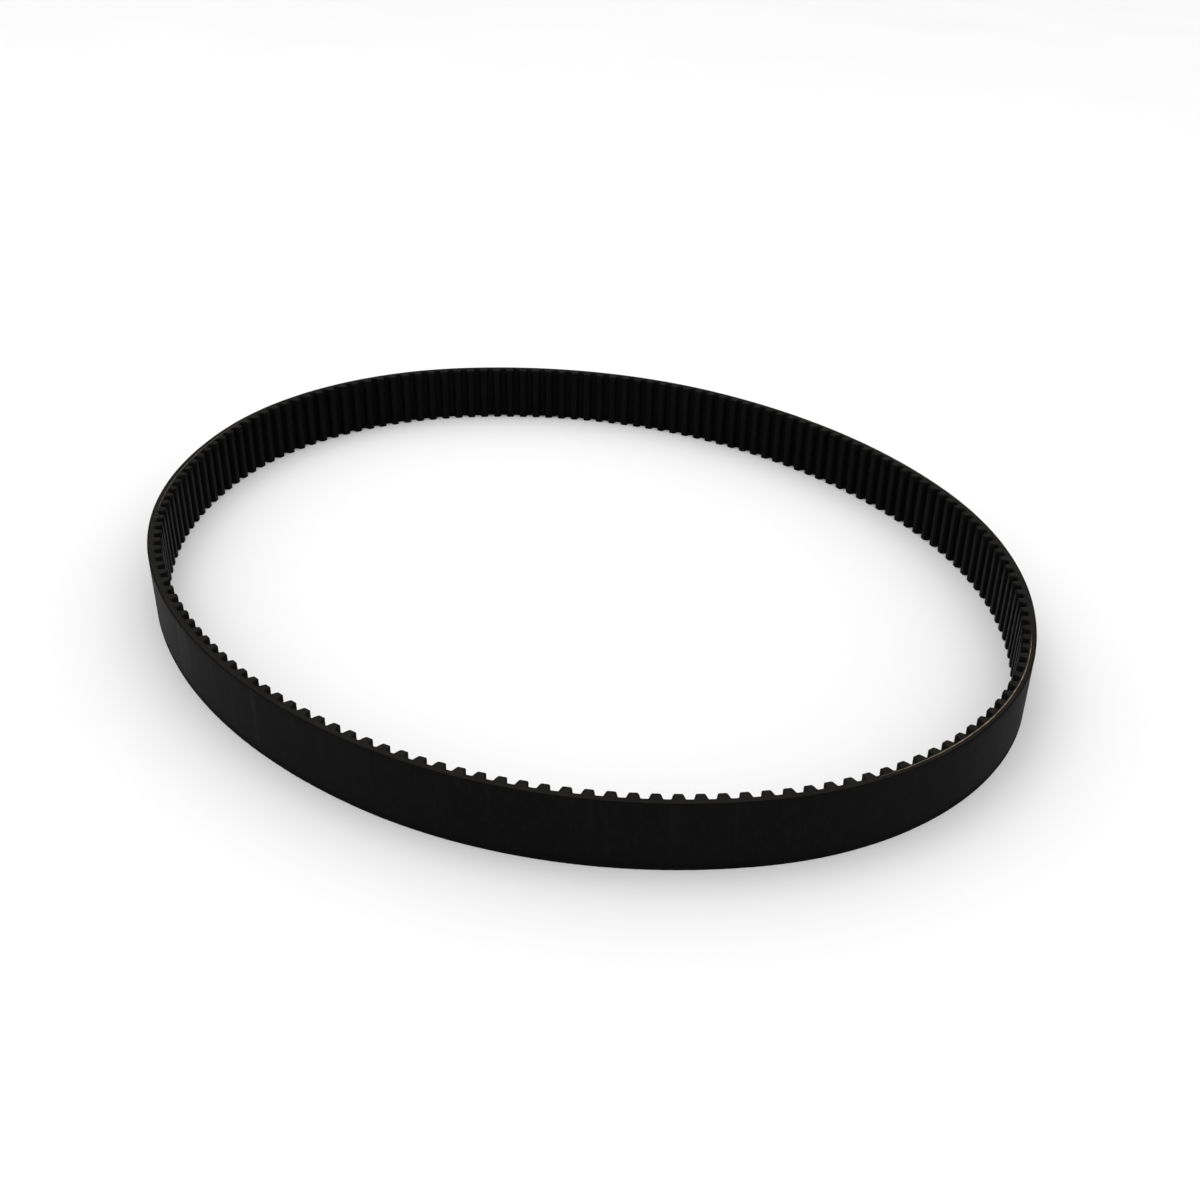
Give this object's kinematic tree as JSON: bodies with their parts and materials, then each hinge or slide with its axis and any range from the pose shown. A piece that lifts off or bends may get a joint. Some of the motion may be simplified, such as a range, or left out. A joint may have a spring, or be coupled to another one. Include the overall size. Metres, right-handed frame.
{
  "type": "timing belt",
  "caption": "Endless rubber timing belt with moulded inner teeth, smooth back and glass cords, standing on its edge in a relaxed oval.",
  "frame": {"origin": "middle of the relaxed oval, in the plane of the lower cut edge", "axes": "+Z across the belt's width, from the lower cut edge to the upper one; +X along the long axis of the oval; +Y along its short axis"},
  "size_m": [0.4564, 0.3772, 0.03],
  "materials": {
    "backing_rubber": "matt, ground smooth",
    "tooth_rubber": "matt, cut edge brownish grey",
    "facing_fabric": "black nylon twill, low sheen",
    "cord_s": "resin-dipped glass fibre, tan",
    "cord_z": "resin-dipped glass fibre, tan"
  },
  "bodies": {
    "root": {"backing_rubber": "backing_rubber", "tooth_rubber": "tooth_rubber", "facing_fabric": "facing_fabric", "tensile_cord_s_twist": "cord_s", "tensile_cord_z_twist": "cord_z"}
  },
  "joints": []
}
